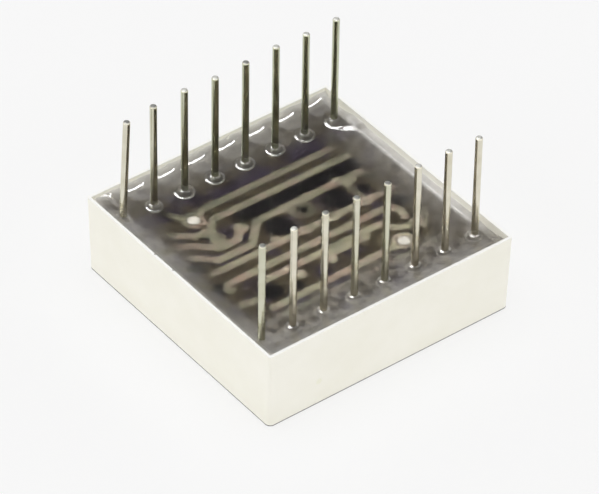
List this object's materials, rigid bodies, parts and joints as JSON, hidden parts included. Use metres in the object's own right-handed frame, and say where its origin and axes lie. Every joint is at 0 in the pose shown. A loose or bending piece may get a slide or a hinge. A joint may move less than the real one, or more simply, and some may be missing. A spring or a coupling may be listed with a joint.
{
  "type": "led dot matrix module",
  "caption": "Square LED dot matrix display module lying on its lit face, with a white reflector housing, a dark potted back over copper traces, and straight rows of round solder pins.",
  "frame": {"origin": "centre of the lit face, which the module lies on", "axes": "+Z from the lit face towards the pin tips, +X along the pin rows, +Y from the front pin row to the back one"},
  "size_m": [0.0202, 0.0202, 0.0139],
  "materials": {
    "housing_plastic": "fine satin moulded surface",
    "face_ink": "matt printed ink",
    "board_laminate": "dark masked glass-fibre laminate",
    "masked_copper": "copper under a thin dark mask",
    "bare_copper": "gold flashed copper",
    "solder": "dull tin",
    "potting": "glossy clear smoke-grey casting resin",
    "diffusing_resin": "milky cast resin, flat and satin",
    "chip": "sawn semiconductor",
    "gold_wire": "drawn wire",
    "tinned_pin": "drawn and tinned, bright"
  },
  "bodies": {
    "root": {"housing": "housing_plastic", "face_print": "face_ink", "circuit_board": "board_laminate", "back_copper": "masked_copper", "front_copper": "bare_copper", "solder_joints": "solder", "potting_resin": "potting", "dot_fills_1": "diffusing_resin", "dot_fills_2": "diffusing_resin", "dot_fills_3": "diffusing_resin", "dot_fills_4": "diffusing_resin", "dot_fills_5": "diffusing_resin", "dot_fills_6": "diffusing_resin", "dot_fills_7": "diffusing_resin", "dot_fills_8": "diffusing_resin", "chips_1": "chip", "chips_2": "chip", "chips_3": "chip", "chips_4": "chip", "chips_5": "chip", "chips_6": "chip", "chips_7": "chip", "chips_8": "chip", "bond_wires_1": "gold_wire", "bond_wires_2": "gold_wire", "bond_wires_3": "gold_wire", "bond_wires_4": "gold_wire", "bond_wires_5": "gold_wire", "bond_wires_6": "gold_wire", "bond_wires_7": "gold_wire", "bond_wires_8": "gold_wire", "pin_1": "tinned_pin", "pin_2": "tinned_pin", "pin_3": "tinned_pin", "pin_4": "tinned_pin", "pin_5": "tinned_pin", "pin_6": "tinned_pin", "pin_7": "tinned_pin", "pin_8": "tinned_pin", "pin_9": "tinned_pin", "pin_10": "tinned_pin", "pin_11": "tinned_pin", "pin_12": "tinned_pin", "pin_13": "tinned_pin", "pin_14": "tinned_pin", "pin_15": "tinned_pin", "pin_16": "tinned_pin"}
  },
  "joints": []
}
